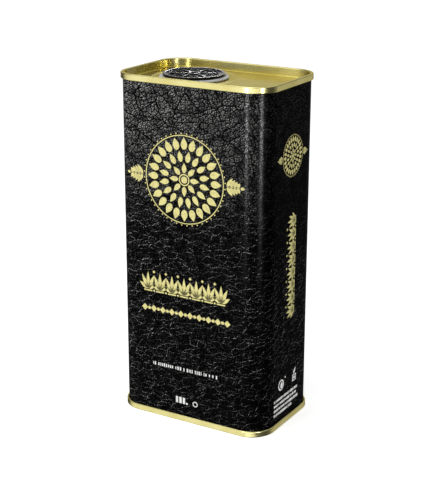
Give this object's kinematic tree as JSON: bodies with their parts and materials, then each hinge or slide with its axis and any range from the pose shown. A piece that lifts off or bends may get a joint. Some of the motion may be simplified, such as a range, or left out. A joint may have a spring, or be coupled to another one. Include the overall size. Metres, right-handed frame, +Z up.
{
  "type": "talcum powder tin",
  "caption": "Tall flat rectangular powder tin with rounded corners, double-seamed gold ends and an off-centre rotary sifter that turns to open and close.",
  "frame": {"origin": "centre of the footprint, on the plane that the lower seam stands on", "axes": "+Z up, from the base to the closure; +X along the wide face, away from the closure; -Y out of the front face"},
  "size_m": [0.075, 0.0498, 0.153],
  "materials": {
    "printed_body": "satin",
    "gold_ends": "satin",
    "seam_compound": "matte",
    "closure_collar": "satin",
    "closure_dial": "gloss"
  },
  "bodies": {
    "tin": {"body_shell": "printed_body", "top_end": "gold_ends", "bottom_end": "gold_ends", "top_seam_compound": "seam_compound", "bottom_seam_compound": "seam_compound", "closure_base": "closure_collar"},
    "dial": {"sifter_dial": "closure_dial"}
  },
  "joints": [
    {"name": "sifter_dial_turn", "type": "hinge", "parent": "tin", "child": "dial", "pos_m": [-0.0113, 0, 0.1505], "axis": [0, 0, 1], "range_deg": [0, 30]}
  ]
}
